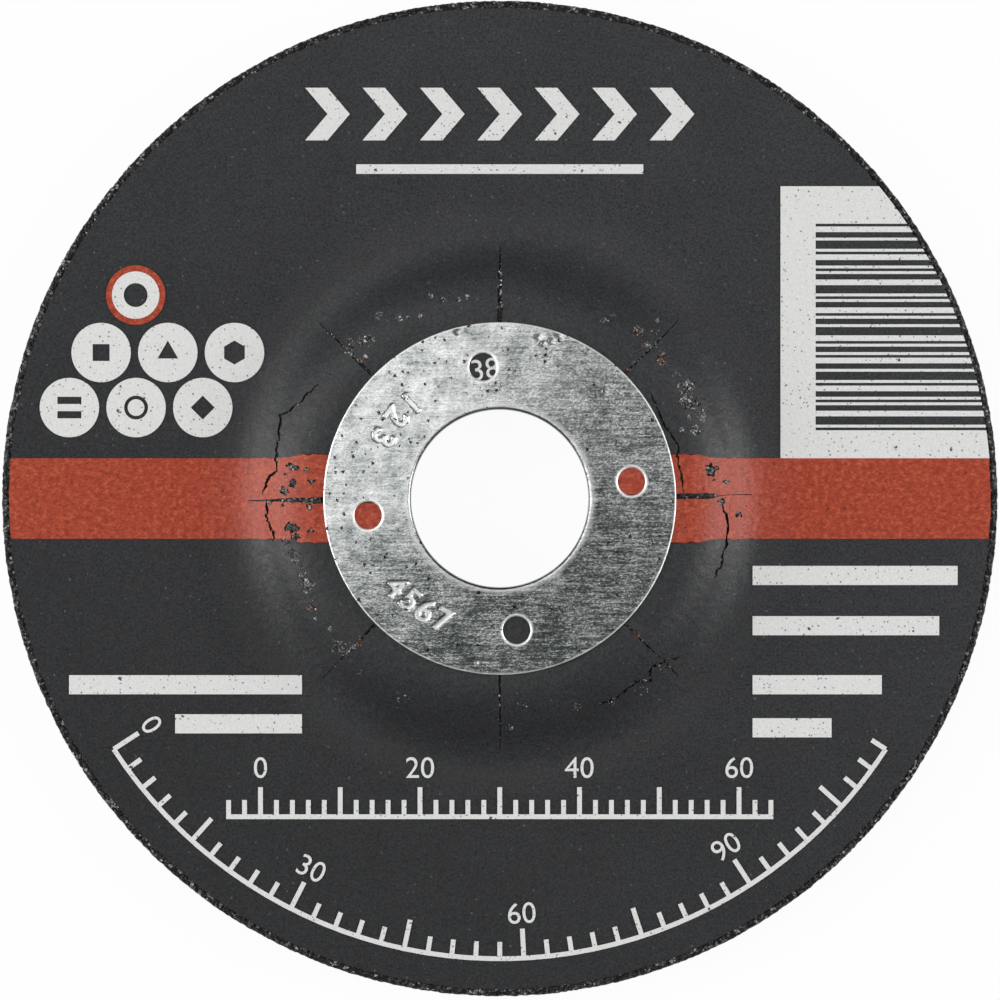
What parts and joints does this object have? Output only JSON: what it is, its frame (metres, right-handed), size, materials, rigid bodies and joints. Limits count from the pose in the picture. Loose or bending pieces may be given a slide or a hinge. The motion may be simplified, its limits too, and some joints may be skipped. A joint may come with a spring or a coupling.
{
  "type": "depressed-centre grinding disc",
  "caption": "Round black abrasive disc with a raised hub, a steel-ringed bore and a printed paper label with a red band across it.",
  "frame": {"origin": "on the spin axis, in the plane of the working face", "axes": "+Z along the spin axis, from the working face towards the label; +X along the red band, towards the striped field; +Y towards the chevrons"},
  "size_m": [0.125, 0.125, 0.0113],
  "materials": {
    "abrasive": "coarse black grains in a resin bond, rough, with small bright facets",
    "label": "matte dark grey printed paper, pressed over coarse grain",
    "red_ink": "matte brick red ink, finely mottled",
    "pale_ink": "matte off-white ink with dark specks",
    "tinned_steel": "tin-plated sheet, lightly dented and pitted"
  },
  "bodies": {
    "root": {"abrasive_body": "abrasive", "paper_label": "label", "red_print": "red_ink", "pale_print": "pale_ink", "hub_ring": "tinned_steel"}
  },
  "joints": []
}
